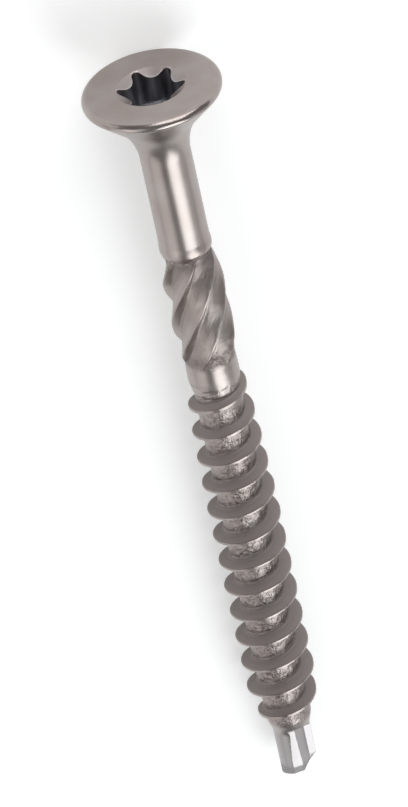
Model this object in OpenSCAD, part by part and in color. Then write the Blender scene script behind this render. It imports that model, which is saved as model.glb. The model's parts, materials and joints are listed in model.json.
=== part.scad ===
// Construction screw with a countersunk head, a six-lobe drive recess, ribs on
// the shank, a coarse single-start thread and a short drill point.
// Upright, the head's face is at height 0, the point is at -length and +X is
// the side that faces up once the screw lies on its rim and its last full crest.

/* [Head] */
// Diameter of the head
head_d = 11.6; // [10:0.1:13]
// Height of the straight rim round the head
rim_h = 0.7; // [0.3:0.1:1.2]
// Bevel on the rim's upper edge
rim_bevel = 0.15; // [0.05:0.01:0.25]
// Full angle of the countersunk underside
countersink_angle = 90; // [75:1:100]
// Radius of the hollow neck between underside and shank
neck_r = 5.2; // [2:0.1:6]

/* [Drive recess] */
// Width of the recess over two opposite lobes
recess_d = 5.6; // [4.5:0.05:6.2]
// Width of the recess between two opposite ridges
recess_waist = 4; // [3.2:0.05:4.3]
// Radius at the end of each lobe
lobe_r = 0.45; // [0.35:0.01:0.55]
// Depth of the recess walls
recess_depth = 2.8; // [1.8:0.1:3.2]
// Full angle of the lead-in cone round the recess
lead_in_angle = 125; // [100:1:140]
// Room between the lobes' ends and the lead-in cone's edge
lead_in_room = 0.1; // [0.05:0.01:0.3]
// Full angle of the recess floor
floor_angle = 130; // [110:1:150]
// Angle by which one lobe is turned from the side that faces up
recess_turn = 27; // [0:1:59]

/* [Shank] */
// Diameter of the plain shank and of the collar
shank_d = 4.25; // [4:0.05:4.6]
// Distance from the head's face to the ribs
plain_len = 15.9; // [12:0.1:24]

/* [Ribs] */
// Number of ribs
rib_count = 6; // [4:1:8]
// Diameter over the ribs
rib_d = 5; // [4.7:0.05:5.6]
// Diameter at the bottom of the grooves between the ribs
rib_root_d = 4; // [3.6:0.05:4.1]
// Length of the ribbed stretch
rib_len = 11.2; // [6:0.1:14]
// Axial length of one full turn of a rib
rib_lead = 24.8; // [18:0.1:40]
// Share of each rib's spacing that its flat crest takes up
rib_land = 0.16; // [0.1:0.01:0.4]
// Share of each rib's spacing that its foot takes up
rib_foot = 0.68; // [0.5:0.01:0.95]
// Azimuth of one rib where the ribs begin
rib_turn = 15; // [0:1:59]
// Length over which the grooves run out at each end of the ribs
groove_run_out = 0.6; // [0.3:0.1:1.2]

/* [Collar] */
// Length of the plain collar between the ribs and the thread
collar_len = 2.8; // [1.5:0.1:5]
// Radius of the collar's rounded shoulder
shoulder_r = 1; // [0.4:0.1:1.6]

/* [Thread] */
// Length from the head's face to the end of the drill point
length = 70.5; // [62:0.5:100]
// Diameter over the thread
thread_d = 6; // [5.5:0.1:6.6]
// Diameter of the core under the thread
core_d = 3.9; // [3.6:0.05:4]
// Axial distance between two turns of the thread
pitch = 2.69; // [2.2:0.01:3.6]
// Full angle between the thread's two flanks
flank_angle = 42; // [35:1:55]
// Width of the thread's crest
crest_w = 0.16; // [0.08:0.01:0.3]
// Azimuth at which the thread begins under the collar
thread_turn = 290; // [0:5:355]

/* [Drill point] */
// Diameter of the drill point
tip_d = 3.2; // [2.8:0.05:3.5]
// Length of the drill point, with the taper down from the core
tip_len = 6.2; // [4.5:0.1:8]
// Length of the taper from the core to the drill point
tip_taper = 1.7; // [0.5:0.1:2.5]
// Full angle of the cutting end
point_angle = 140; // [100:1:160]
// Slant of the cut on one side of the end
end_slant = 41; // [20:1:50]
// Distance from the axis to where that cut begins
end_cut_start = 0.38; // [0.2:0.01:0.8]
// Length of the two flutes
flute_len = 5; // [3:0.1:6]
// Distance between the flats of the two flutes
flute_width = 2.02; // [1.6:0.01:2.4]
// Distance from the middle of each flat to its step
flute_step = 0.28; // [0.1:0.01:0.6]
// Angle between each flat and its step
flute_angle = 136; // [100:1:160]
// Azimuth that the first flute's flat faces
flute_turn = 53; // [0:1:179]

/* [Hidden] */

head_r = head_d / 2;
shank_r = shank_d / 2;
core_r = core_d / 2;
thread_r = thread_d / 2;
tip_r = tip_d / 2;
rib_r = rib_d / 2;
rib_root_r = rib_root_d / 2;

// Where each stretch ends, measured from the head's face
ribs_end = plain_len + rib_len;
collar_end = ribs_end + collar_len;
tip_start = length - tip_len;

// How far the foot of a rib or of the thread is sunk into the metal under it
sunk = 0.25;
// Angular steps for one turn of the thread, and slices along the ribs
turn_steps = 36;
rib_slices = 24;
// Facets of the turned body in a preview
body_facets = 96;

// Points of an arc from angle a to angle b
function arc(centre, r, a, b, steps) =
    [for (i = [0 : steps])
        let (t = a + (b - a) * i / steps)
        centre + r * [cos(t), sin(t)]];

// A point at a radius, an azimuth and a distance from the head's face
function at(r, azimuth, s) = [r * cos(azimuth), r * sin(azimuth), -s];

// A closed solid skinned over rings that all have the same number of corners
module skin(rings) {
    last = len(rings) - 1;
    n = len(rings[0]);
    polyhedron(
        points = [for (ring = rings) each ring],
        faces = concat(
            [[for (j = [0 : n - 1]) j]],
            [for (i = [0 : last - 1])
                for (j = [0 : n - 1])
                    let (k = (j + 1) % n)
                    each [[n * i + j, n * i + n + j, n * i + n + k],
                          [n * i + j, n * i + n + k, n * i + k]]],
            [[for (j = [n - 1 : -1 : 0]) n * last + j]]
        )
    );
}

// Half profile of the turned body, as [radius, height]
function body_profile() =
    let (
        half = countersink_angle / 2,
        cone_end = rim_h + (head_r - shank_r) / tan(half),
        neck_end = cone_end + neck_r * tan(half / 2),
        point_h = tip_r / tan(point_angle / 2)
    )
    concat(
        [[0, 0], [head_r - rim_bevel, 0], [head_r, -rim_bevel], [head_r, -rim_h]],
        arc([shank_r + neck_r, -neck_end], neck_r, 180 - half, 180, 10),
        [[shank_r, -plain_len],
         [rib_root_r - sunk, -plain_len - groove_run_out],
         [rib_root_r - sunk, -ribs_end + groove_run_out],
         [shank_r, -ribs_end]],
        arc([shank_r - shoulder_r, -collar_end], shoulder_r, 0,
            -acos((core_r - shank_r + shoulder_r) / shoulder_r), 6),
        [[core_r, -tip_start],
         [tip_r, -tip_start - tip_taper],
         [tip_r, -length + point_h],
         [0, -length]]
    );

// Outline of the six-lobe recess. The lobes and the ridges between them are
// arcs that meet without a corner, which fixes the ridges' radius.
function recess_outline() =
    let (
        p = recess_d / 2 - lobe_r,
        q = recess_waist / 2,
        c = cos(30),
        ridge_r = (lobe_r * lobe_r - p * p - q * q + 2 * p * q * c)
                  / (2 * (q - p * c - lobe_r)),
        ridge = (q + ridge_r) * [cos(30), sin(30)],
        joint = atan2(ridge[1], ridge[0] - p)
    )
    [for (k = [0 : 5])
        each [for (point = concat(
                  arc([p, 0], lobe_r, -joint, joint, 6),
                  arc(ridge, ridge_r, 180 + joint, 240 - joint, 6)))
              let (a = 60 * k)
              [point[0] * cos(a) - point[1] * sin(a),
               point[0] * sin(a) + point[1] * cos(a)]]];

module recess() {
    lead_r = recess_d / 2 + lead_in_room;
    lead_h = lead_r / tan(lead_in_angle / 2);
    floor_r = recess_waist / 2;
    floor_h = floor_r / tan(floor_angle / 2);
    rotate([0, 0, recess_turn])
        translate([0, 0, -recess_depth])
            linear_extrude(recess_depth + 1)
                polygon(recess_outline());
    translate([0, 0, -recess_depth - floor_h])
        cylinder(h = floor_h, r1 = 0, r2 = floor_r);
    translate([0, 0, -lead_h])
        cylinder(h = lead_h * 2, r1 = 0, r2 = lead_r * 2);
}

// Ring of the ribbed stretch at a share of its length: four corners for each
// rib. The crests rise out of the shank and drop steeply before the collar.
function rib_ring(share) =
    let (
        azimuth = rib_turn - 360 * rib_len * share / rib_lead,
        s = plain_len + rib_len * share,
        spacing = 360 / rib_count,
        rise = [[0, shank_r - sunk], [0.28, rib_r], [0.9, rib_r], [1, shank_r - sunk]],
        crest_r = lookup(share, rise)
    )
    [for (k = [0 : rib_count - 1])
        let (middle = azimuth - spacing * k)
        each [at(rib_root_r, middle + spacing * rib_foot / 2, s),
              at(crest_r, middle + spacing * rib_land / 2, s),
              at(crest_r, middle - spacing * rib_land / 2, s),
              at(rib_root_r, middle - spacing * rib_foot / 2, s)]];

module ribs() {
    skin([for (i = [0 : rib_slices]) rib_ring(i / rib_slices)]);
}

// Thread: it begins under the collar, ends on the taper of the drill point and
// reaches its full height only in between. Each pair is a number of turns from
// that end and the share of the full height there.
thread_first = collar_end - pitch / 2;
thread_turns = (tip_start + tip_taper / 3 - thread_first) / pitch;
run_in = [[0, -0.1], [0.5, 0.53], [1, 0.65], [2, 0.8], [3, 0.88], [5, 1]];
run_out = [[0, -0.1], [0.4, 0.58], [1, 0.85], [1.5, 1]];

function crest_at(n) =
    let (share = min(lookup(n, run_in), lookup(thread_turns - n, run_out)))
    core_r + (thread_r - core_r) * share;

function thread_section(n) =
    let (
        azimuth = thread_turn - 360 * n,
        s = thread_first + pitch * n,
        slope = tan(flank_angle / 2),
        foot_r = core_r - sunk,
        crest_r = crest_at(n),
        crest_half = crest_w / 2 + slope * (thread_r - crest_r),
        foot_half = crest_w / 2 + slope * (thread_r - foot_r)
    )
    [at(foot_r, azimuth, s + foot_half),
     at(crest_r, azimuth, s + crest_half),
     at(crest_r, azimuth, s - crest_half),
     at(foot_r, azimuth, s - foot_half)];

module thread() {
    steps = ceil(thread_turns * turn_steps);
    skin([for (i = [0 : steps]) thread_section(thread_turns * i / steps)]);
}

// Two flutes on opposite sides, each with a broad flat and a step beside it
module flutes() {
    flat = flute_width / 2;
    reach = tip_d;
    step_end = [flat, flute_step] + reach * [-cos(flute_angle), sin(flute_angle)];
    for (k = [0, 180])
        rotate([0, 0, flute_turn + k])
            translate([0, 0, -length - 1])
                linear_extrude(flute_len + 1)
                    polygon([[flat, -reach], [flat, flute_step], step_end,
                             [flat + reach, flute_step], [flat + reach, -reach]]);
}

// The slanting cut on one side of the end
module end_cut() {
    translate([0, end_cut_start, -length])
        rotate([end_slant, 0, 0])
            translate([-tip_d, 0, -tip_d])
                cube([tip_d * 2, tip_d * 2, tip_d]);
}

module upright_screw() {
    color([0.62, 0.59, 0.57])
    difference() {
        union() {
            rotate_extrude($fn = body_facets) polygon(body_profile());
            ribs();
            thread();
        }
        recess();
        flutes();
        end_cut();
    }
}

// Lying at rest: the rim's lower edge and one crest of the thread touch the
// floor, and the bounding box's bottom centre is the origin. Of all the crests
// that face down, the one that needs the least tilt is the one that touches.
down = ((thread_turn + 180) % 360) / 360;

function tilt_on_crest(n) =
    atan((head_r - crest_at(n)) / (thread_first + pitch * n - rim_h));

rest_tilt = min([for (k = [0 : floor(thread_turns - down)]) tilt_on_crest(k + down)]);
face_height = rim_h * sin(rest_tilt) + head_r * cos(rest_tilt);
face_x = (head_r * sin(rest_tilt) - length * cos(rest_tilt)) / 2;

module screw() {
    translate([face_x, 0, face_height])
        rotate([0, rest_tilt - 90, 0])
            upright_screw();
}

screw();
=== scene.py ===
# %% [markdown]
# # A construction screw, dressed in Blender
# A construction screw pulls timber to timber. From its head on it has a flat face with a
# six-lobe recess, a cone and a hollow neck, a plain shank, six slanted ribs, a collar, a coarse
# thread and a short fluted drill point. Heading and rolling make all of it from one wire.
#
# Its solid comes from the CAD model. Here it gets its finer form and its steel. It could be
# carved by hand, but nearly all of it is a radius that changes along the screw and round it. So
# Geometry Nodes build the whole surface from that rule, and every size stays a number.

# %% Load the frame
import json
import math

import bmesh
import bpy
from mathutils import Matrix, Vector

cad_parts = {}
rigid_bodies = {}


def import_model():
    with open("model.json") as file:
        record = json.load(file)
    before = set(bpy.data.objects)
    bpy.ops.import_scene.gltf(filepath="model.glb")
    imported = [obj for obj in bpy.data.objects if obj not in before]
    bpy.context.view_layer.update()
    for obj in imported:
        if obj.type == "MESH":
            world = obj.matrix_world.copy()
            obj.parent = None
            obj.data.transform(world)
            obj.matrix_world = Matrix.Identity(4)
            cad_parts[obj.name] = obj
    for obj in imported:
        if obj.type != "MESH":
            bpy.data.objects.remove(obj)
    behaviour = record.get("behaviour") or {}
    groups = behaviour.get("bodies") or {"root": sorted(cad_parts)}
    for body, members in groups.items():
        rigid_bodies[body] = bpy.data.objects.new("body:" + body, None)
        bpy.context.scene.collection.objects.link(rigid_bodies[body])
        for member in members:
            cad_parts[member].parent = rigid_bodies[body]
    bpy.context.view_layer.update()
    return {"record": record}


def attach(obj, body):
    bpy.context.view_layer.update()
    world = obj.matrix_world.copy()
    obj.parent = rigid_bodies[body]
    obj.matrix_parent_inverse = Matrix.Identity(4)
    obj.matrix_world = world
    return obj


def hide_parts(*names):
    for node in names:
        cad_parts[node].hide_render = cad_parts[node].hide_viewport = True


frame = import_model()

# %% [markdown]
# ## Where the screw lies
# A screw can't stand on its point, so it lies on its rim and on one crest of its thread. Its
# axis could be measured on the mesh, but the record already states the centre of the head's face
# and the way that the face looks, which is exact.
# "along" runs from the head to the point, "up_side" is the side of the screw that faces up as
# it lies, and "right_side" is level with the floor.

# %% The screw's own directions
head_mount = next(m for m in frame["record"]["mounts"] if m["name"] == "head_face")
head_centre = Vector(head_mount["pos_m"])
along = -Vector(head_mount["axis"]).normalized()
right_side = Vector((0, 1, 0))
up_side = right_side.cross(along) * -1
lying_down = Matrix((up_side, right_side, -along)).transposed().to_euler()
print("Axis runs down by", round(math.degrees(math.asin(-along.z)), 2), "degrees")

# %% [markdown]
# ## The camera
# The photograph was taken from far off with a long lens, from the head's side, so the head is
# seen from above and the point runs away from the camera. A camera could be pointed by eye. Here
# three numbers place it: how far the screw leans away from the picture plane, how far it is
# turned in the picture, and how far off the head is. They were fitted to the screw's outline,
# so a difference in the picture is a difference in the shape.

# %% Camera
lean = math.radians(34.5)
roll = math.radians(12.5123)
head_distance = 0.650
head_px = (150.4681, 85.8509)
px_per_m_at_head = 12389.8
picture = (408, 807)

to_right = (math.sin(roll) * math.cos(lean) * along + math.cos(roll) * right_side
            + math.sin(roll) * math.sin(lean) * up_side)
to_bottom = (math.cos(roll) * math.cos(lean) * along - math.sin(roll) * right_side
             + math.cos(roll) * math.sin(lean) * up_side)
forward = math.sin(lean) * along - math.cos(lean) * up_side

camera_data = bpy.data.cameras.new("Camera")
camera_data.sensor_width = 36
camera_data.lens = camera_data.sensor_width * px_per_m_at_head * head_distance / max(picture)
camera_data.clip_start, camera_data.clip_end = 0.01, 20
camera = bpy.data.objects.new("Camera", camera_data)
bpy.context.scene.collection.objects.link(camera)
bpy.context.scene.camera = camera

head_right = (head_px[0] - picture[0] / 2) / px_per_m_at_head
head_down = (head_px[1] - picture[1] / 2) / px_per_m_at_head
place_of_camera = (head_centre - head_right * to_right - head_down * to_bottom
                   - head_distance * forward)
camera.matrix_world = Matrix((
    (to_right.x, -to_bottom.x, -forward.x, place_of_camera.x),
    (to_right.y, -to_bottom.y, -forward.y, place_of_camera.y),
    (to_right.z, -to_bottom.z, -forward.z, place_of_camera.z),
    (0, 0, 0, 1)))
print("Lens:", round(camera_data.lens, 1), "mm, looking down by",
      round(math.degrees(math.asin(-forward.z)), 1), "degrees")

# %% [markdown]
# ## Sums inside a node tree
# Geometry Nodes and shader nodes both do their sums with Math nodes. Written one by one, or
# drawn by hand, they would fill pages. A small class lets a socket take part in ordinary Python
# sums instead: each plus or times adds one Math node, and the result is a socket again.

# %% A socket that can be reckoned with
class Value:
    def __init__(self, tree, socket):
        self.tree, self.socket = tree, socket

    def __add__(self, other): return reckon("ADD", self, other)
    def __radd__(self, other): return reckon("ADD", other, self)
    def __sub__(self, other): return reckon("SUBTRACT", self, other)
    def __rsub__(self, other): return reckon("SUBTRACT", other, self)
    def __mul__(self, other): return reckon("MULTIPLY", self, other)
    def __rmul__(self, other): return reckon("MULTIPLY", other, self)
    def __truediv__(self, other): return reckon("DIVIDE", self, other)
    def __rtruediv__(self, other): return reckon("DIVIDE", other, self)


def feed(socket, term):
    """Links a Value to a socket, or sets the socket to a plain number."""
    if isinstance(term, Value):
        term.tree.links.new(term.socket, socket)
    else:
        socket.default_value = term


def reckon(operation, *terms):
    tree = next(term.tree for term in terms if isinstance(term, Value))
    node = tree.nodes.new("ShaderNodeMath")
    node.operation = operation
    for socket, term in zip(node.inputs, terms):
        feed(socket, term)
    return Value(tree, node.outputs[0])


def low(a, b): return reckon("MINIMUM", a, b)
def high(a, b): return reckon("MAXIMUM", a, b)
def sine(a): return reckon("SINE", a)
def cosine(a): return reckon("COSINE", a)
def root(a): return reckon("SQRT", high(a, 0.0))
def fraction(a): return reckon("FRACT", a)
def whole(a): return reckon("FLOOR", a)
def size_of(a): return reckon("ABSOLUTE", a)
def above(a, b): return reckon("GREATER_THAN", a, b)
def blend_high(a, b, width): return reckon("SMOOTH_MAX", a, b, width)
def blend_low(a, b, width): return reckon("SMOOTH_MIN", a, b, width)


# %% [markdown]
# ## Ramps and lines
# Most of the screw's rules say that something starts here and ends there. A Map Range node says
# just that. Several of them added up draw a line through any number of points, which a Float
# Curve node could do too, but the points would be harder to read in it.

# %% Ramps and lines through points
def ramp(x, start, end, low_value=0.0, high_value=1.0, soft=False):
    """Runs from one value to another while x goes from start to end, and stays level outside."""
    node = x.tree.nodes.new("ShaderNodeMapRange")
    node.interpolation_type = "SMOOTHSTEP" if soft else "LINEAR"
    for socket, term in zip(node.inputs, (x, start, end, low_value, high_value)):
        feed(socket, term)
    return Value(x.tree, node.outputs[0])


def through(x, points):
    """A line through the points (x, y), level before the first and after the last."""
    total = points[0][1]
    for (x0, y0), (x1, y1) in zip(points, points[1:]):
        if y1 != y0:
            total = total + ramp(x, x0, x1, 0.0, y1 - y0)
    return total


# %% [markdown]
# ## Node groups with named sockets
# A group is a small node tree that is used in several places, so that a rule is written once.
# Each gets named inputs and outputs, and its sizes can be read and changed in Blender too.
# Putting a group in a tree connects the inputs that share a name with the values given.

# %% Make and place a node group
SOCKETS = {float: "NodeSocketFloat", int: "NodeSocketInt"}


def start_tree(kind, name, inputs, outputs):
    tree = bpy.data.node_groups.new(name, kind + "NodeTree")
    for label, default in inputs.items():
        item = tree.interface.new_socket(name=label, in_out="INPUT",
                                         socket_type=SOCKETS[type(default)])
        item.default_value = default
    for label, socket_type in outputs:
        tree.interface.new_socket(name=label, in_out="OUTPUT", socket_type=socket_type)
    entry = tree.nodes.new("NodeGroupInput")
    given = {s.name: Value(tree, s) for s in entry.outputs if s.name}
    return tree, given, tree.nodes.new("NodeGroupOutput")


def put(tree, group, values=None, **named):
    node = tree.nodes.new(tree.bl_idname.replace("NodeTree", "NodeGroup"))
    node.node_tree = group
    values = {**(values or {}), **named}
    for socket in node.inputs:
        if socket.name in values:
            feed(socket, values[socket.name])
    return {s.name: Value(tree, s) for s in node.outputs}


# %% [markdown]
# ## The sizes
# All lengths in the trees are millimetres along the screw, measured from the head's face, and
# all angles are radians. They are the values of the CAD model, so the dressed screw fills the
# same room. Only the last step turns millimetres into metres and lays the screw down.

# %% Sizes in millimetres
turn = 2 * math.pi
SIZES = {
    "Head radius": 5.8, "Rim height": 0.7, "Neck radius": 5.2,
    "Recess depth": 2.8, "Lead radius": 2.9,
    "Shank radius": 2.125, "Plain length": 15.9,
    "Rib radius": 2.5, "Rib root radius": 2.0, "Rib length": 11.2, "Rib lead": 24.8,
    "Collar end": 29.9, "Shoulder radius": 1.0,
    "Core radius": 1.95, "Thread radius": 3.0, "Pitch": 2.69,
    "Thread azimuth": math.radians(290),
    "Length": 70.5, "Point radius": 1.6, "Taper start": 64.3, "Taper length": 1.7,
}
RIBS_START = SIZES["Plain length"]
RIBS_END = RIBS_START + SIZES["Rib length"]
THREAD_FIRST = SIZES["Collar end"] - SIZES["Pitch"] / 2
THREAD_END = SIZES["Taper start"] + SIZES["Taper length"] / 3
THREAD_TURNS = (THREAD_END - THREAD_FIRST) / SIZES["Pitch"]
print("Ribs from", RIBS_START, "to", round(RIBS_END, 2), "mm, thread of",
      round(THREAD_TURNS, 2), "turns")

# %% [markdown]
# ## The radius of the body: the head
# The steel between the head and the point is round nearly everywhere, so one number tells its
# shape: how far the surface is from the axis, at a place along the screw and an azimuth round
# it. One group holds the whole rule, because the plain stretches and the thread both stand on it.
# It starts with the head. The underside is a cone of 90 degrees, and the neck is an arc that
# meets the cone and the shank without a corner, as the heading die leaves it. The rim's lower
# edge is rounded by a tenth of a millimetre, which gives it a second bright line.

# %% Body radius: head and neck
BODY_SIZES = ("Head radius", "Rim height", "Neck radius", "Shank radius", "Plain length",
              "Rib radius", "Rib root radius", "Rib length", "Rib lead", "Collar end",
              "Shoulder radius", "Core radius", "Point radius", "Taper start", "Taper length")
body_group, given, result = start_tree(
    "Geometry", "Body radius",
    {"Along": 0.0, "Azimuth": 0.0, **{name: SIZES[name] for name in BODY_SIZES}},
    [("Radius", "NodeSocketFloat"), ("Hollow", "NodeSocketFloat")])
s, azimuth = given["Along"], given["Azimuth"]
head_r, shank_r, neck_r = given["Head radius"], given["Shank radius"], given["Neck radius"]

half = math.radians(90 / 2)
neck_end = given["Rim height"] + (head_r - shank_r) + neck_r * math.tan(half / 2)
into_neck = low(high(neck_end - s, 0.0), neck_r * math.sin(half))
cone = high(neck_end - neck_r * math.sin(half) - s, 0.0)
radius = shank_r + neck_r - root(neck_r * neck_r - into_neck * into_neck) + cone
rim = head_r - through(s - given["Rim height"],
                       [(-0.1, 0.0), (-0.02, 0.03), (0.08, 0.09), (0.5, 0.0)])
radius = blend_low(radius, rim, 0.04)
print("Head:", len(body_group.nodes), "nodes")

# %% [markdown]
# ## The radius of the body: the ribs
# Rolling presses six ribs out of the shank. The metal just before them swells a little and then
# drops into the grooves. Each rib climbs along a smooth flank to its ridge and drops steeply on
# the other side. They could be six swept bars that are joined to the shank, but a radius that
# follows the azimuth gives one skin, and its hollows blend as rolled metal does.
# The share across tells where a place lies between two ridges, from -0.5 to 0.5. The heights
# along a ridge are added to the rib radius, and the heights across it to those.

# %% Body radius: swelling, grooves and ribs
SWELLING = 0.07
GROOVE_BELOW_ROOT = 0.12
RIB_COUNT = 6
RIB_AZIMUTH = math.radians(12)
RIB_RIDGE = [(0.0, -0.5), (0.1, -0.2), (0.28, 0.03), (0.8, 0.03), (0.9, -0.08), (0.99, -0.4)]
RIB_SIDES = [(-0.5, -0.54), (-0.37, -0.47), (-0.24, -0.38), (-0.1, -0.22), (0.0, -0.08),
             (0.07, 0.0), (0.12, 0.0), (0.16, -0.1), (0.24, -0.42), (0.3, -0.59),
             (0.35, -0.63), (0.41, -0.6), (0.5, -0.54)]

past_start = s - given["Plain length"]
before_end = given["Plain length"] + given["Rib length"] - s
radius = (radius + ramp(past_start, -1.3, -0.4, 0.0, SWELLING, soft=True)
          - ramp(past_start, -0.3, 0.3, 0.0, SWELLING, soft=True))
groove_floor = ramp(past_start, -0.1, 0.5, soft=True) * ramp(before_end, 0.0, 1.7, soft=True)
radius = radius - groove_floor * (shank_r - given["Rib root radius"] + GROOVE_BELOW_ROOT)

unwound = azimuth - RIB_AZIMUTH + past_start * turn / given["Rib lead"]
across = fraction(unwound * RIB_COUNT / turn + 0.5) - 0.5
ridge_r = given["Rib radius"] + through(past_start / given["Rib length"], RIB_RIDGE)
in_ribs = above(past_start, 0.0) * above(before_end, -0.4)
rib = (ridge_r + through(across, RIB_SIDES)) * in_ribs
radius = blend_high(radius, rib, 0.04)
# The hollows between the ribs are painted darker as shade through the dirt mark.
hollow = high(ramp(across, 0.36, 0.42), ramp(across, -0.1, -0.28))
print("Ribs:", RIB_COUNT, "ridges,", len(body_group.nodes), "nodes so far")

# %% [markdown]
# ## The radius of the body: collar and point
# Below the ribs the wire keeps its own thickness for a short collar. It is slightly
# barrel-shaped and has a fine step before its rounded shoulder, where the thread's core starts.
# At the other end the core tapers down to the pin of the drill point.

# %% Body radius: collar, shoulder and taper
COLLAR_SHAPE = [(-3.0, 0.0), (-2.2, 0.05), (-1.3, 0.07), (-0.9, 0.05), (-0.5, -0.03),
                (-0.1, -0.03), (0.5, 0.0)]
past_collar = s - given["Collar end"]
radius = radius + through(past_collar, COLLAR_SHAPE)
shoulder, core_r = given["Shoulder radius"], given["Core radius"]
into_shoulder = high(past_collar + 0.4, 0.0)
drop = shoulder - root(shoulder * shoulder - into_shoulder * into_shoulder)
radius = radius - low(drop, shank_r - core_r)

tapered = ramp(s, given["Taper start"], given["Taper start"] + given["Taper length"], 0.0, 1.0,
               soft=True)
radius = radius - tapered * (core_r - given["Point radius"])
feed(result.inputs["Radius"], radius)
feed(result.inputs["Hollow"], hollow)
print("Body radius:", len(body_group.nodes), "nodes")

# %% [markdown]
# ## The six-lobe recess
# The driver's bit sits in a recess of twelve arcs: six small ones that bulge out, and six wider
# ones that bulge in between them. It could be cut with a Boolean modifier, but that leaves long
# thin faces on the face of the head. Each direction from the middle meets just one arc, so the
# outline too can be a radius. Folding the azimuth into half a lobe leaves two arcs to reckon.
# A wide cone, the lead-in, then cuts the ridges back near the face. The group also tells where
# the cone meets the walls, because that edge catches the light and the steel paints it bright
# as a highlight.

# %% Node group for the recess outline
recess_group, given, result = start_tree(
    "Geometry", "Recess radius",
    {"Depth": 0.0, "Azimuth": 0.0, "Lobe place": 2.35, "Lobe radius": 0.45,
     "Ridge place": 3.2155, "Ridge radius": 1.2155, "Lead radius": 2.9,
     "Turn": math.radians(22.5)},
    [("Radius", "NodeSocketFloat"), ("Edge", "NodeSocketFloat")])
ARCS_MEET = math.radians(9.99)
LEAD_IN_SLOPE = math.tan(math.radians(62.5))
sixth = turn / 6
folded = size_of(fraction((given["Azimuth"] - given["Turn"]) / sixth + 0.5) - 0.5) * sixth
lobe_place, lobe_r = given["Lobe place"], given["Lobe radius"]
lobe_side = lobe_place * sine(folded)
lobe = lobe_place * cosine(folded) + root(lobe_r * lobe_r - lobe_side * lobe_side)
ridge_place, ridge_r = given["Ridge place"], given["Ridge radius"]
from_ridge = sixth / 2 - folded
ridge_side = ridge_place * sine(from_ridge)
ridge = ridge_place * cosine(from_ridge) - root(ridge_r * ridge_r - ridge_side * ridge_side)
outline = lobe + (ridge - lobe) * above(folded, ARCS_MEET)
lead_in = given["Lead radius"] - given["Depth"] * LEAD_IN_SLOPE
feed(result.inputs["Radius"], blend_high(outline, lead_in, 0.13))
# The edge is where the steel paints a highlight.
feed(result.inputs["Edge"], ramp(size_of(outline - lead_in), 0.12, 0.03))
print("Recess radius:", len(recess_group.nodes), "nodes")

# %% [markdown]
# ## Sheets of points
# Each stretch of the screw starts as a flat grid. One way across it becomes the way along the
# screw, and the other becomes the way round. Moving every point to its radius rolls the grid
# up into a tube. A Curve to Mesh node makes tubes too, but its rows always cross the screw
# squarely. Here neighbouring stretches share the ring where they meet, and the azimuth turns
# with the ribs, so that the rows of faces follow their edges.

# %% The tree for the whole screw
screw_inputs = {"Columns": 192, **SIZES}
screw_tree, sizes, result = start_tree("Geometry", "Construction screw", screw_inputs,
                                       [("Geometry", "NodeSocketGeometry")])


def grid(rows):
    """A grid, its share along (0 to 1) and its share round (0 to 1)."""
    sheet = screw_tree.nodes.new("GeometryNodeMeshGrid")
    sheet.inputs["Size X"].default_value = 1
    sheet.inputs["Size Y"].default_value = 1
    sheet.inputs["Vertices X"].default_value = rows + 1
    feed(sheet.inputs["Vertices Y"], sizes["Columns"] + 1)
    place = screw_tree.nodes.new("GeometryNodeInputPosition")
    parts = screw_tree.nodes.new("ShaderNodeSeparateXYZ")
    screw_tree.links.new(place.outputs[0], parts.inputs[0])
    return (sheet.outputs["Mesh"], Value(screw_tree, parts.outputs["X"]) + 0.5,
            Value(screw_tree, parts.outputs["Y"]) + 0.5)


def azimuth_at(share_round, s):
    """The azimuth of a column, which turns with the ribs as far as they run."""
    left = low(high(sizes["Plain length"] + sizes["Rib length"] - s, 0.0), sizes["Rib length"])
    return sizes["Thread azimuth"] - share_round * turn + left * turn / sizes["Rib lead"]


def point_at(radius, azimuth, s):
    """A point of the upright screw, with the head on top."""
    joined = screw_tree.nodes.new("ShaderNodeCombineXYZ")
    feed(joined.inputs[0], radius * cosine(azimuth))
    feed(joined.inputs[1], radius * sine(azimuth))
    feed(joined.inputs[2], s * -1.0)
    return joined.outputs[0]


print("Tree started with", len(sizes), "named inputs")

# %% [markdown]
# ## Uneven metal, and marks for the steel
# Rolling leaves its traces on the ribs and the thread. A Noise Texture node works in Geometry
# Nodes too, so these dents are real shape and not only shading.
# The steel has to know where it is rough or matt, where dirt and painted shade darken it, and
# where a painted highlight brightens it. Each stretch knows its own ridges and hollows, so it
# stores five marks on its points, from 0 to 1, which the material reads later.
# They are stored while the grid is still flat, because they are reckoned from its flat places.

# %% Noise, marks and rolling up
# The dirt mark carries dirt and painted shade, and the lip mark carries a painted highlight.
MARKS = ("rough", "flank", "recess", "lip", "dirt")
stretches = []


def noise_at(vector, scale, detail=2.0, seed=0.0):
    """Smooth noise from about -0.5 to 0.5 at a place on the screw."""
    noise = screw_tree.nodes.new("ShaderNodeTexNoise")
    noise.noise_dimensions = "4D"
    screw_tree.links.new(vector, noise.inputs["Vector"])
    noise.inputs["Scale"].default_value = scale
    noise.inputs["Detail"].default_value = detail
    noise.inputs["W"].default_value = seed
    return Value(screw_tree, noise.outputs[0]) - 0.5


def roll_up(mesh, position, **marks):
    """Stores the marks on a grid, moves its points into place and keeps it as a stretch."""
    for label in MARKS:
        store = screw_tree.nodes.new("GeometryNodeStoreNamedAttribute")
        store.data_type = "FLOAT"
        store.inputs["Name"].default_value = label
        screw_tree.links.new(mesh, store.inputs["Geometry"])
        feed(store.inputs["Value"], marks.get(label, 0.0))
        mesh = store.outputs[0]
    move = screw_tree.nodes.new("GeometryNodeSetPosition")
    screw_tree.links.new(mesh, move.inputs["Geometry"])
    screw_tree.links.new(position, move.inputs["Position"])
    stretches.append(move.outputs[0])


print("Marks:", ", ".join(MARKS))
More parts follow.
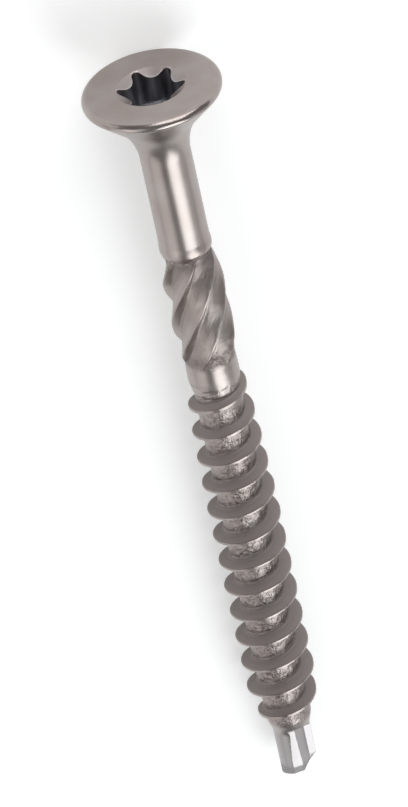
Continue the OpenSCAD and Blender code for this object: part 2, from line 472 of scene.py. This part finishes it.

# %% [markdown]
# ## Recess
# The recess is a floor like a shallow cone, six-lobed walls and the lead-in. The walls' rows
# stand at given depths, closer together in the lead-in, where its edge has to be sharp. The
# lower walls are marked as recess, which is painted a darker, colder grey as shade, and the edge
# gets the lip mark, which is painted bright as a highlight.

# %% Recess floor, walls and lead-in
FLOOR_CONE_R = 2.0
FLOOR_SLOPE = math.tan(math.radians(65))
depth = sizes["Recess depth"]
mesh, share, share_round = grid(8)
azimuth = azimuth_at(share_round, 0.0)
opening = put(screw_tree, recess_group, sizes, Depth=depth, Azimuth=azimuth)["Radius"]
floor_s = depth + high(FLOOR_CONE_R - opening * share, 0.0) / FLOOR_SLOPE
roll_up(mesh, point_at(opening * share, azimuth, floor_s), recess=1.0)

for rows, deep, shallow in ((6, 1.0, 0.2), (12, 0.2, 0.0)):
    mesh, share, share_round = grid(rows)
    azimuth = azimuth_at(share_round, 0.0)
    s = depth * (deep + share * (shallow - deep))
    cut = put(screw_tree, recess_group, sizes, Depth=s, Azimuth=azimuth)
    # Painted shade on the deeper walls (recess) and a painted highlight on the lead-in's edge
    # (lip).
    roll_up(mesh, point_at(cut["Radius"], azimuth, s), recess=ramp(s, 0.1, 0.8),
            lip=cut["Edge"] * ramp(s, 0.9, 0.6))
print("Recess:", len(stretches), "stretches")

# %% [markdown]
# ## Face and rim
# The face of the head is flat, so its rows stand at shares of the way from the recess to the
# rim. The rim's upper edge is rounded by the heading die. A Bevel modifier would round every
# sharp edge alike, so the edge is a stretch of its own: a quarter of an ellipse.

# %% Face and the rim's upper edge
edge_in, edge_down = 0.55, 0.5
mesh, share, share_round = grid(6)
azimuth = azimuth_at(share_round, 0.0)
opening = put(screw_tree, recess_group, sizes, Depth=0.0, Azimuth=azimuth)["Radius"]
face_r = opening + share * (sizes["Head radius"] - edge_in - opening)
roll_up(mesh, point_at(face_r, azimuth, 0.0))

mesh, share, share_round = grid(9)
azimuth = azimuth_at(share_round, 0.0)
bend = share * (turn / 4)
rim_r = sizes["Head radius"] - edge_in + edge_in * sine(bend)
roll_up(mesh, point_at(rim_r, azimuth, edge_down - edge_down * cosine(bend)))
print("Head:", len(stretches), "stretches")

# %% [markdown]
# ## From the rim to the collar
# These stretches follow the body's radius. Where something happens over a short length, such as
# the rim's lower edge or the ends of the ribs, the rows stand closer together.
# On the real screw the ribs are duller than the shank, and the metal is torn where they start
# and end. So the ribs get slight dents, their grooves and torn ends are marked rough, and painted
# shade darkens their hollows, the low floors of the grooves and the torn ends, where the key
# lamp would leave bright patches.

# %% Rim, underside, neck, shank, ribs and collar
thread_ring = THREAD_FIRST - 0.65
BODY_ROWS = ((3, edge_down, 0.6), (12, 0.6, 1.2), (4, 1.2, 2.9), (22, 2.9, 6.6), (8, 6.6, 14.9),
             (18, 14.9, 16.5), (46, 16.5, 25.7), (14, 25.7, 27.2), (5, 27.2, thread_ring))
for rows, start, end in BODY_ROWS:
    mesh, share, share_round = grid(rows)
    s = start + share * (end - start)
    azimuth = azimuth_at(share_round, s)
    body = put(screw_tree, body_group, sizes, Along=s, Azimuth=azimuth)
    even = point_at(body["Radius"], azimuth, s)
    past_start, before_end = s - RIBS_START, RIBS_END - s
    dented = ramp(past_start, -0.9, 0.1) * ramp(before_end, -0.1, 0.7)
    radius = body["Radius"] + noise_at(even, 0.9, seed=3.0) * dented * 0.1

    grooved = ramp(radius, 2.2, 2.08) * ramp(past_start, 0.1, 0.6) * ramp(before_end, 0.2, 0.6)
    torn = high(ramp(before_end, 1.7, 0.9) * ramp(before_end, -0.1, 0.4) * 0.8,
                ramp(past_start, 0.0, 0.3) * ramp(past_start, 1.7, 0.9) * 0.6)
    low_down = ramp(radius, 2.0, 1.92) * ramp(past_start, 0.2, 0.7) * ramp(past_start, 3.6, 2.3)
    hollow = body["Hollow"] * ramp(past_start, 0.3, 2.1) * ramp(before_end, 0.1, 0.6)
    # The dirt mark here is painted shade: hollows, low groove floors and torn ends.
    roll_up(mesh, point_at(radius, azimuth, s), rough=high(grooved * 0.2, torn),
            dirt=high(high(hollow * 0.45, low_down), torn))
print("Head and body:", len(stretches), "stretches")

# %% [markdown]
# ## Rows of the thread
# A thread is a profile that climbs round a core. The Screw modifier makes one, but it can't
# change the height of the crest on the way or meet the body. So the thread is one more grid,
# which leans: one way round the screw, each row ends one pitch further along than it began, just
# where a later row begins. The rows stand on the crest, its edges, the flanks and the strip of
# core between two turns, so every edge of the thread is an edge of the mesh.
# Each place across a turn is a number: 0 the middle of the crest, 1 its edge, 2 the foot of the
# flank, and 3 the middle of the strip between two turns.

# %% Places across one turn, and the leaning grid
half_rows = (1.0, 1.12, 1.45, 1.75, 2.0, 2.2, 2.45, 2.7)
across_rows = [-3.0] + [-c for c in reversed(half_rows)] + [0.0] + list(half_rows)
rows_in_turn = len(across_rows)
first_turn, last_turn = -1, math.ceil(THREAD_TURNS + 1)
thread_rows = rows_in_turn * (last_turn - first_turn)

mesh, share, share_round = grid(thread_rows)
row = whole(share * thread_rows + 0.5)
turn_number = whole((row + 0.01) / rows_in_turn)
row_in_turn = row - turn_number * rows_in_turn
place = through(row_in_turn, list(enumerate(across_rows + [3.0])))
turns = turn_number + first_turn + share_round
azimuth = sizes["Thread azimuth"] - share_round * turn
print("Rows in a turn:", rows_in_turn)

# %% [markdown]
# ## Where the thread's surface lies
# The crest rises slowly out of the collar and drops within two turns at the point, because the
# rolling dies open and close there. From the crest's radius follow the half width of the crest
# and the flanks' radius, which blends softly into the core as a worn die leaves it. Rows that
# would pass the ends of the thread stop at a plain ring, where the neighbouring stretches begin.

# %% Crest, flanks and core
CREST_HALF = 0.08
GROWS = [(-0.1, -0.6), (0.0, -0.1), (0.5, 0.53), (1.0, 0.65), (2.0, 0.8), (3.0, 0.88),
         (5.0, 1.0)]
FADES = [(-0.1, -0.9), (0.0, -0.1), (0.4, 0.48), (1.0, 0.83), (1.5, 1.0)]
slope = math.tan(math.radians(21))
point_ring = THREAD_END + 0.4

from_end = THREAD_TURNS - turns
height_share = low(through(turns, GROWS), through(from_end, FADES))
height = sizes["Thread radius"] - sizes["Core radius"]
crest_r = sizes["Core radius"] + height * height_share
crest_half = CREST_HALF + (sizes["Thread radius"] - crest_r) * slope * 0.25
foot_half = CREST_HALF + height * slope
gap_half = sizes["Pitch"] / 2
away = size_of(place)
offset = (crest_half * low(away, 1.0) + (foot_half - crest_half) * ramp(away, 1.0, 2.0)
          + (gap_half - foot_half) * ramp(away, 2.0, 3.0))
side = above(place, 0.0) * 2.0 - 1.0
s = THREAD_FIRST + turns * sizes["Pitch"] + offset * side
s = low(high(s, thread_ring), point_ring)

flank_r = crest_r - high(offset - crest_half, 0.0) / slope
flank_r = flank_r - (ramp(s, thread_ring + 0.3, thread_ring)
                     + ramp(s, point_ring - 0.3, point_ring)) * 2.0
core = put(screw_tree, body_group, sizes, Along=s, Azimuth=azimuth)["Radius"]
radius = blend_high(core, flank_r, 0.45)
print("Thread from", round(THREAD_FIRST, 2), "to", round(THREAD_END, 2), "mm")

# %% [markdown]
# ## What rolling leaves on the thread
# The dies press the flanks flat and even, so they are marked as flank, which is matt. The strip
# between the turns is only squeezed: it is dented and rough, and sparkles. The crests are
# slightly uneven, and the foot of the flank that faces the head is painted darker as shade. The
# last turn is cleaner on its lower side, where it runs out on the taper.

# %% Dents and marks of the thread
even = point_at(radius, azimuth, s)
before_point = ramp(s, point_ring - 0.1, point_ring - 1.2)
inside = ramp(s, thread_ring + 0.5, thread_ring + 1.6) * before_point
dents = noise_at(even, 1.1, 3.0, seed=5.0) * 0.16 + noise_at(even, 3.2, 2.0, seed=8.0) * 0.09
uneven = noise_at(even, 0.7, 2.0, seed=11.0) * ramp(away, 1.5, 0.9) * 0.12 * inside
radius = radius + ramp(away, 1.7, 2.3) * inside * dents + uneven

pressed = ramp(away, 2.2, 1.8) * ramp(away, 1.0, 1.12) * inside
clean = above(place, 0.0) * ramp(from_end, 1.0, 0.8) * 0.8
dull_crest = ramp(from_end, 1.5, 1.1) * ramp(from_end, 0.7, 0.9) * 0.5
sparkling = ((ramp(away, 1.7, 2.3) + ramp(away, 1.1, 1.0) * 0.3)
             * ramp(s - SIZES["Collar end"], -0.4, 0.7))
# The dirt mark here is painted shade at the foot of each turn's head-side flank.
roll_up(mesh, point_at(radius, azimuth, s), rough=sparkling * before_point,
        flank=high(pressed * (1.0 - clean), dull_crest),
        dirt=ramp(place, -2.75, -2.3) * ramp(place, -1.8, -2.05) * inside * 0.85)
print("Head, body and thread:", len(stretches), "stretches")

# %% [markdown]
# ## The drill point
# The point cuts its own hole, so it is a plain pin with two flutes along it and an end that is
# cut on the slant. Each flute has a broad flat, a step and a narrow flat land, and runs out in
# the taper. A Boolean could cut the flats from the pin, but a flat face is a simple radius too:
# its distance from the axis, divided by the cosine of the angle to it.

# %% Flats, flutes and the slanted end
END_SLOPE = 0.33
SLANT_SLOPE, SLANT_STARTS = 1.05, 0.3
FLUTE_MIDDLE, FLUTE_STARTS = math.radians(38), 66.1


def end_at(radius, azimuth):
    """How far along the end's surface lies: two shallow slopes, cut away on one side."""
    slopes = size_of(radius * cosine(azimuth)) * END_SLOPE
    slant = high(radius * sine(azimuth) - SLANT_STARTS, 0.0) * SLANT_SLOPE
    return sizes["Length"] - slopes - slant


def flat(azimuth, distance, degrees):
    """The radius at which a flat face is met, at a distance from the axis and an azimuth."""
    return distance / high(cosine(azimuth - math.radians(degrees)), 0.05)


def flute_radius(azimuth, s):
    """The radius left by two flutes, each with a broad flat, a step and a narrow flat land."""
    folded = (fraction((azimuth - FLUTE_MIDDLE) / (turn / 2) + 0.5) - 0.5) * (turn / 2)
    folded = folded + FLUTE_MIDDLE
    past = s - high(FLUTE_STARTS - cosine(azimuth) * 1.1, point_ring + 0.05)
    flute = blend_high(flat(folded, 1.01, 53), flat(folded, 0.545, 9.5), 0.06)
    land = flat(folded, 1.336, 13) * 0.8 + 0.3
    land = land + through(s - point_ring, [(0.0, 0.45), (0.15, 0.15), (3.4, 0.0)])
    return blend_low(flute + ramp(past, 0.16, 0.0, 0.0, 1.4), land, 0.04)


# %% [markdown]
# ## The point's sides and end
# The rows of its sides are spread between the thread's last ring and the end's edge, so that
# they lean with the slanted cut. The end itself is closed by rows that shrink to the middle. Its
# last millimetre is ground matt, so it is marked as flank.

# %% Drill point
GROUND_FROM, GROUND_TO = 69.3, 69.45
mesh, share, share_round = grid(34)
azimuth = sizes["Thread azimuth"] - share_round * turn
last_s = end_at(sizes["Point radius"], azimuth)
s = point_ring + share * (last_s - point_ring)
pin = put(screw_tree, body_group, sizes, Along=s, Azimuth=azimuth)["Radius"]
roll_up(mesh, point_at(low(pin, flute_radius(azimuth, s)), azimuth, s),
        flank=ramp(s, GROUND_FROM, GROUND_TO))

mesh, share, share_round = grid(10)
azimuth = sizes["Thread azimuth"] - share_round * turn
edge_s = end_at(sizes["Point radius"], azimuth)
radius = low(sizes["Point radius"], flute_radius(azimuth, edge_s)) * (1.0 - share)
s = edge_s + (end_at(radius, azimuth) - edge_s) * ramp(share, 0.0, 0.1)
roll_up(mesh, point_at(radius, azimuth, s), flank=ramp(s, GROUND_FROM, GROUND_TO))
print("Whole screw:", len(stretches), "stretches")

# %% [markdown]
# ## One closed skin
# The stretches are joined, and points that lie on each other become one, which also closes the
# seam down each tube. Edges that turn by more than about thirty degrees stay sharp. The last
# step lays the screw down as the CAD model lies and turns millimetres into metres. Realize
# Instances and Set Material end the tree, because the export keeps only real faces.

# %% Join, merge, shade and lay down
SHARP_FROM = math.radians(32)


def chain(geometry, node_type, socket_name="Geometry"):
    """Adds a node behind a geometry socket."""
    node = screw_tree.nodes.new(node_type)
    screw_tree.links.new(geometry, node.inputs[socket_name])
    return node


join = screw_tree.nodes.new("GeometryNodeJoinGeometry")
for stretch in reversed(stretches):
    screw_tree.links.new(stretch, join.inputs[0])
merge = chain(join.outputs[0], "GeometryNodeMergeByDistance")
merge.inputs["Distance"].default_value = 0.001
turned_over = chain(merge.outputs[0], "GeometryNodeFlipFaces", "Mesh")
shade = chain(turned_over.outputs[0], "GeometryNodeSetShadeSmooth")
shade.domain = "EDGE"
angle = screw_tree.nodes.new("GeometryNodeInputMeshEdgeAngle")
feed(shade.inputs["Shade Smooth"],
     reckon("LESS_THAN", Value(screw_tree, angle.outputs[0]), SHARP_FROM))
lay = chain(shade.outputs[0], "GeometryNodeTransform")
lay.inputs["Scale"].default_value = (0.001,) * 3
lay.inputs["Rotation"].default_value = lying_down
lay.inputs["Translation"].default_value = head_centre
realize = chain(lay.outputs[0], "GeometryNodeRealizeInstances")
dress = chain(realize.outputs[0], "GeometryNodeSetMaterial")
screw_tree.links.new(dress.outputs[0], result.inputs["Geometry"])
print("Whole tree:", len(screw_tree.nodes), "nodes")

# %% [markdown]
# ## Where a place is on the screw
# The steel differs along the screw, so its material has to know how far from the head a point
# is. A Mapping node stands the Object coordinates upright again, in millimetres from the middle
# of the face. Then the height gives the place along the screw, and the rest gives the radius.

# %% Node group for the place on the screw
place_group, given, result = start_tree(
    "Shader", "Place on the screw", {},
    [("Along", "NodeSocketFloat"), ("Radius", "NodeSocketFloat"), ("Point", "NodeSocketVector")])
coordinates = place_group.nodes.new("ShaderNodeTexCoord")
upright = place_group.nodes.new("ShaderNodeMapping")
upright.vector_type = "TEXTURE"
upright.inputs["Location"].default_value = head_centre
upright.inputs["Rotation"].default_value = lying_down
upright.inputs["Scale"].default_value = (0.001,) * 3
place_group.links.new(coordinates.outputs["Object"], upright.inputs["Vector"])
parts = place_group.nodes.new("ShaderNodeSeparateXYZ")
place_group.links.new(upright.outputs[0], parts.inputs[0])
x, y, z = (Value(place_group, out) for out in parts.outputs)
feed(result.inputs["Along"], z * -1.0)
feed(result.inputs["Radius"], root(x * x + y * y))
place_group.links.new(upright.outputs[0], result.inputs["Point"])
print("Place on the screw:", len(place_group.nodes), "nodes")

# %% [markdown]
# ## Grain
# Bare rolled steel is never quite even. Three sizes of noise make it up: clouds where the
# colour drifts, a fine grain that softens reflections, and coarse pits where the rolling dies
# tore the surface. An image texture would need unwrapping, and noise in the steel's own space
# has no seams. The group gives them as numbers, and each use picks its own strengths.

# %% Node group for the grain
grain_group, given, result = start_tree(
    "Shader", "Steel grain",
    {"Cloud scale": 0.35, "Grain scale": 9.0, "Pit scale": 3.2},
    [("Clouds", "NodeSocketFloat"), ("Grain", "NodeSocketFloat"), ("Pits", "NodeSocketFloat")])
here = put(grain_group, place_group)


def shader_noise(scale, detail, seed, stretch=(1, 1, 1)):
    squeeze = grain_group.nodes.new("ShaderNodeVectorMath")
    squeeze.operation = "MULTIPLY"
    feed(squeeze.inputs[0], here["Point"])
    squeeze.inputs[1].default_value = stretch
    noise = grain_group.nodes.new("ShaderNodeTexNoise")
    noise.noise_dimensions = "4D"
    grain_group.links.new(squeeze.outputs[0], noise.inputs["Vector"])
    feed(noise.inputs["Scale"], scale)
    noise.inputs["Detail"].default_value = detail
    noise.inputs["W"].default_value = seed
    return Value(grain_group, noise.outputs[0])


feed(result.inputs["Clouds"], shader_noise(given["Cloud scale"], 3.0, 1.0))
feed(result.inputs["Grain"], shader_noise(given["Grain scale"], 4.0, 2.0, (1, 1, 0.35)))
feed(result.inputs["Pits"], shader_noise(given["Pit scale"], 3.0, 3.0))
print("Steel grain:", len(grain_group.nodes), "nodes")

# %% [markdown]
# ## The steel's colour
# One metal covers the screw: warm grey steel. Its colour drifts with the clouds, and each mark
# mixes in a shade of its own. The flanks are a little darker and the pits of the rough places are
# dark. The hollows of the ribs and the foot of the thread are painted darker as shade, the walls
# of the recess are painted colder and darker as shade, and their edge is painted bright as a
# highlight. The point, which was ground last, is a colder grey.

# %% Steel material: colour
steel = bpy.data.materials.new("Satin steel")
steel.use_nodes = True
tree = steel.node_tree
shader = tree.nodes["Principled BSDF"]
here = put(tree, place_group)
grain = put(tree, grain_group)


def mark(label):
    node = tree.nodes.new("ShaderNodeAttribute")
    node.attribute_name = label
    return Value(tree, node.outputs["Fac"])


def mix_colour(share, first, second):
    node = tree.nodes.new("ShaderNodeMix")
    node.data_type = "RGBA"
    feed(node.inputs[0], share)
    feed(node.inputs[6], first)
    feed(node.inputs[7], second)
    return Value(tree, node.outputs[2])


rough, flank, recess, lip, dirt = (mark(label) for label in MARKS)
colour = mix_colour(ramp(grain["Clouds"], 0.35, 0.65), (0.335, 0.288, 0.272, 1),
                    (0.375, 0.338, 0.322, 1))
SHADES = (
    (flank * 0.8, (0.25, 0.217, 0.208, 1)),
    (rough * (0.22 + ramp(grain["Pits"], 0.48, 0.6) * 0.45), (0.17, 0.145, 0.138, 1)),
    # Painted shade in the rib hollows and at the thread's roots, with some dirt.
    (dirt * ramp(grain["Clouds"], 0.2, 0.5) * 0.4, (0.1, 0.085, 0.08, 1)),
    # Painted shade: the recess walls darker and colder.
    (recess, (0.27, 0.27, 0.29, 1)),
    # Painted highlight on the recess's edge.
    (lip * 0.7, (0.6, 0.56, 0.54, 1)),
    (ramp(here["Along"], SIZES["Taper start"] + 0.2, SIZES["Taper start"] + 2.2) * 0.7,
     (0.33, 0.325, 0.335, 1)))
for share, shade_colour in SHADES:
    colour = mix_colour(share, colour, shade_colour)
feed(shader.inputs["Base Color"], colour)
feed(shader.inputs["Metallic"], 1.0 - flank * 0.55)
print("Steel:", len(SHADES), "shades over the base colour")

# %% [markdown]
# ## The steel's gloss
# The gloss makes the difference between a rolled and a turned part. The shank is smoothest apart
# from the rim, which the die polished. The ribs are a little duller, the flanks are matt, and the
# places of dirt and painted shade are duller too. The rough strips sparkle by a fine bump of
# grain and pits, which is too small to be worth faces.

# %% Steel material: gloss and bump
on_face = ramp(here["Along"], 0.4, 0.2)
on_rim = ramp(here["Radius"], 5.4, 5.6) * ramp(here["Along"], 0.9, 0.7)
on_shank = ramp(here["Along"], 4.0, 6.0)
in_ribs = (ramp(here["Along"], RIBS_START - 0.1, RIBS_START + 0.5)
           * ramp(here["Along"], RIBS_END - 0.1, RIBS_END - 0.7))
roughness = (0.33 - on_rim * 0.12 - on_shank * 0.03 + in_ribs * 0.05 + flank * 0.3 + recess * 0.1
             + rough * 0.02 + dirt * 0.15)
feed(shader.inputs["Roughness"], roughness + (grain["Clouds"] - 0.5) * 0.1)

bump = tree.nodes.new("ShaderNodeBump")
bump.inputs["Strength"].default_value = 1.0
bump.inputs["Distance"].default_value = 0.00002
feed(bump.inputs["Height"], grain["Grain"] * (0.15 + on_face * 0.25 + rough * 1.2)
     + grain["Pits"] * (on_face * 0.25 + rough * 5.5 + flank * 0.4))
feed(shader.inputs["Normal"], Value(tree, bump.outputs[0]))
dress.inputs["Material"].default_value = steel
print("Steel:", len(tree.nodes), "nodes")

# %% [markdown]
# ## Evaluate the tree
# The modifier gets its values by the identifiers of its sockets, because two sockets may share a
# name. Its result is copied into a plain mesh, so the piece that is kept carries no modifier.
# The open edges are counted: a screw is solid steel, so there must be none.

# %% The screw's mesh
start_mesh = bpy.data.meshes.new("start")
maker = bpy.data.objects.new("maker", start_mesh)
bpy.context.scene.collection.objects.link(maker)
nodes = maker.modifiers.new("Construction screw", "NODES")
nodes.node_group = screw_tree
for item in screw_tree.interface.items_tree:
    if item.item_type == "SOCKET" and item.in_out == "INPUT":
        nodes[item.identifier] = screw_inputs[item.name]
bpy.context.view_layer.update()
made = maker.evaluated_get(bpy.context.evaluated_depsgraph_get())
mesh = bpy.data.meshes.new_from_object(made)
mesh.name = "Dressed screw"
bpy.data.objects.remove(maker)
screw = bpy.data.objects.new("Dressed_screw", mesh)
bpy.context.scene.collection.objects.link(screw)

check = bmesh.new()
check.from_mesh(mesh)
open_edges = sum(1 for edge in check.edges if not edge.is_manifold)
volume = check.calc_volume(signed=True) * 1e9
triangles = sum(len(face.verts) - 2 for face in check.faces)
check.free()
print("Screw:", triangles, "triangles,", open_edges, "open edges,", round(volume, 1), "mm3")

# %% [markdown]
# ## Into the frame
# The dressed screw stands for the CAD screw and rides on the one body of the model.

# %% Into the frame
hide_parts("screw")
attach(screw, "root")
print("Rides on root in place of the CAD screw")

# %% [markdown]
# ## The floor
# The floor is matt and nearly white paper. Lamps strong enough to turn it white would bleach the
# steel as well. So part of its white is its own glow, which only the camera and reflections see:
# the picture's ground comes out white, the steel reflects it as white, and the shadow stays.

# %% Floor
reach = 3.0
floor_mesh = bpy.data.meshes.new("Floor")
floor_mesh.from_pydata([(-reach, -reach, 0), (reach, -reach, 0), (reach, reach, 0),
                        (-reach, reach, 0)], [], [(0, 1, 2, 3)])
floor = bpy.data.objects.new("Floor", floor_mesh)
bpy.context.scene.collection.objects.link(floor)
paper = bpy.data.materials.new("White paper")
paper.use_nodes = True
tree = paper.node_tree
paper_shader = tree.nodes["Principled BSDF"]
paper_shader.inputs["Base Color"].default_value = (0.86, 0.86, 0.86, 1)
paper_shader.inputs["Roughness"].default_value = 0.9
paper_shader.inputs["Specular IOR Level"].default_value = 0.0
light_path = tree.nodes.new("ShaderNodeLightPath")
seen = high(high(Value(tree, light_path.outputs["Is Camera Ray"]),
                 Value(tree, light_path.outputs["Is Glossy Ray"])),
            Value(tree, light_path.outputs["Is Transmission Ray"]))
glow = tree.nodes.new("ShaderNodeEmission")
glow.inputs["Color"].default_value = (1, 1, 1, 1)
feed(glow.inputs["Strength"], seen * 0.33)
both = tree.nodes.new("ShaderNodeAddShader")
tree.links.new(paper_shader.outputs[0], both.inputs[0])
tree.links.new(glow.outputs[0], both.inputs[1])
tree.links.new(both.outputs[0], tree.nodes["Material Output"].inputs["Surface"])
floor_mesh.materials.append(paper)
print("Floor:", 2 * reach, "m wide")

# %% [markdown]
# ## Light
# Polished steel shows its surroundings, so the lights are placed by what the screw reflects.
# The key is a softbox beyond the point, to the right: it makes the long bright line on the
# shank. The front lamp stands behind the head and fills the flanks that face the camera. The
# panels are weak and lift single sides: the two on the left make the broad half-light beside
# the line, the one on the right lifts that edge, and the side panel lifts the ribs.
# The room around them is a calm grey, which leaves the darker bands between.

# %% Room and lamps
world = bpy.data.worlds.new("Room")
bpy.context.scene.world = world
world.use_nodes = True
world.node_tree.nodes["Background"].inputs["Color"].default_value = (1, 1, 1, 1)
world.node_tree.nodes["Background"].inputs["Strength"].default_value = 0.27


def softbox(name, direction, distance, width, height, radiance, colour=(1, 1, 1)):
    """An area lamp that looks at the screw; its power follows from how bright it should be."""
    data = bpy.data.lights.new(name, "AREA")
    data.shape = "RECTANGLE"
    data.size, data.size_y = width, height
    data.energy = radiance * width * height * math.pi
    data.color = colour
    lamp = bpy.data.objects.new(name, data)
    bpy.context.scene.collection.objects.link(lamp)
    towards = Vector(direction).normalized()
    lamp.location = towards * distance
    lamp.rotation_mode = "QUATERNION"
    lamp.rotation_quaternion = towards.to_track_quat("Z", "Y")
    print(name, round(data.energy, 2), "W")


softbox("Key", (0.60, 0.335, 0.725), 0.5, 0.32, 0.42, 3.0, (0.96, 1.0, 1.01))
softbox("Front lamp", (-0.84, 0.27, 0.42), 0.7, 0.55, 0.5, 2.6)
softbox("Left panel", (0.45, -0.76, 0.42), 0.6, 0.5, 0.46, 0.9)
softbox("Upper left panel", (0.12, -0.62, 0.77), 0.7, 0.4, 0.4, 0.9)
softbox("Right panel", (0.52, 0.78, 0.33), 0.6, 0.42, 0.3, 0.5)
softbox("Side panel", (-0.337, -0.925, 0.174), 0.6, 0.56, 0.25, 0.8)
bpy.context.scene.view_settings.view_transform = "Standard"
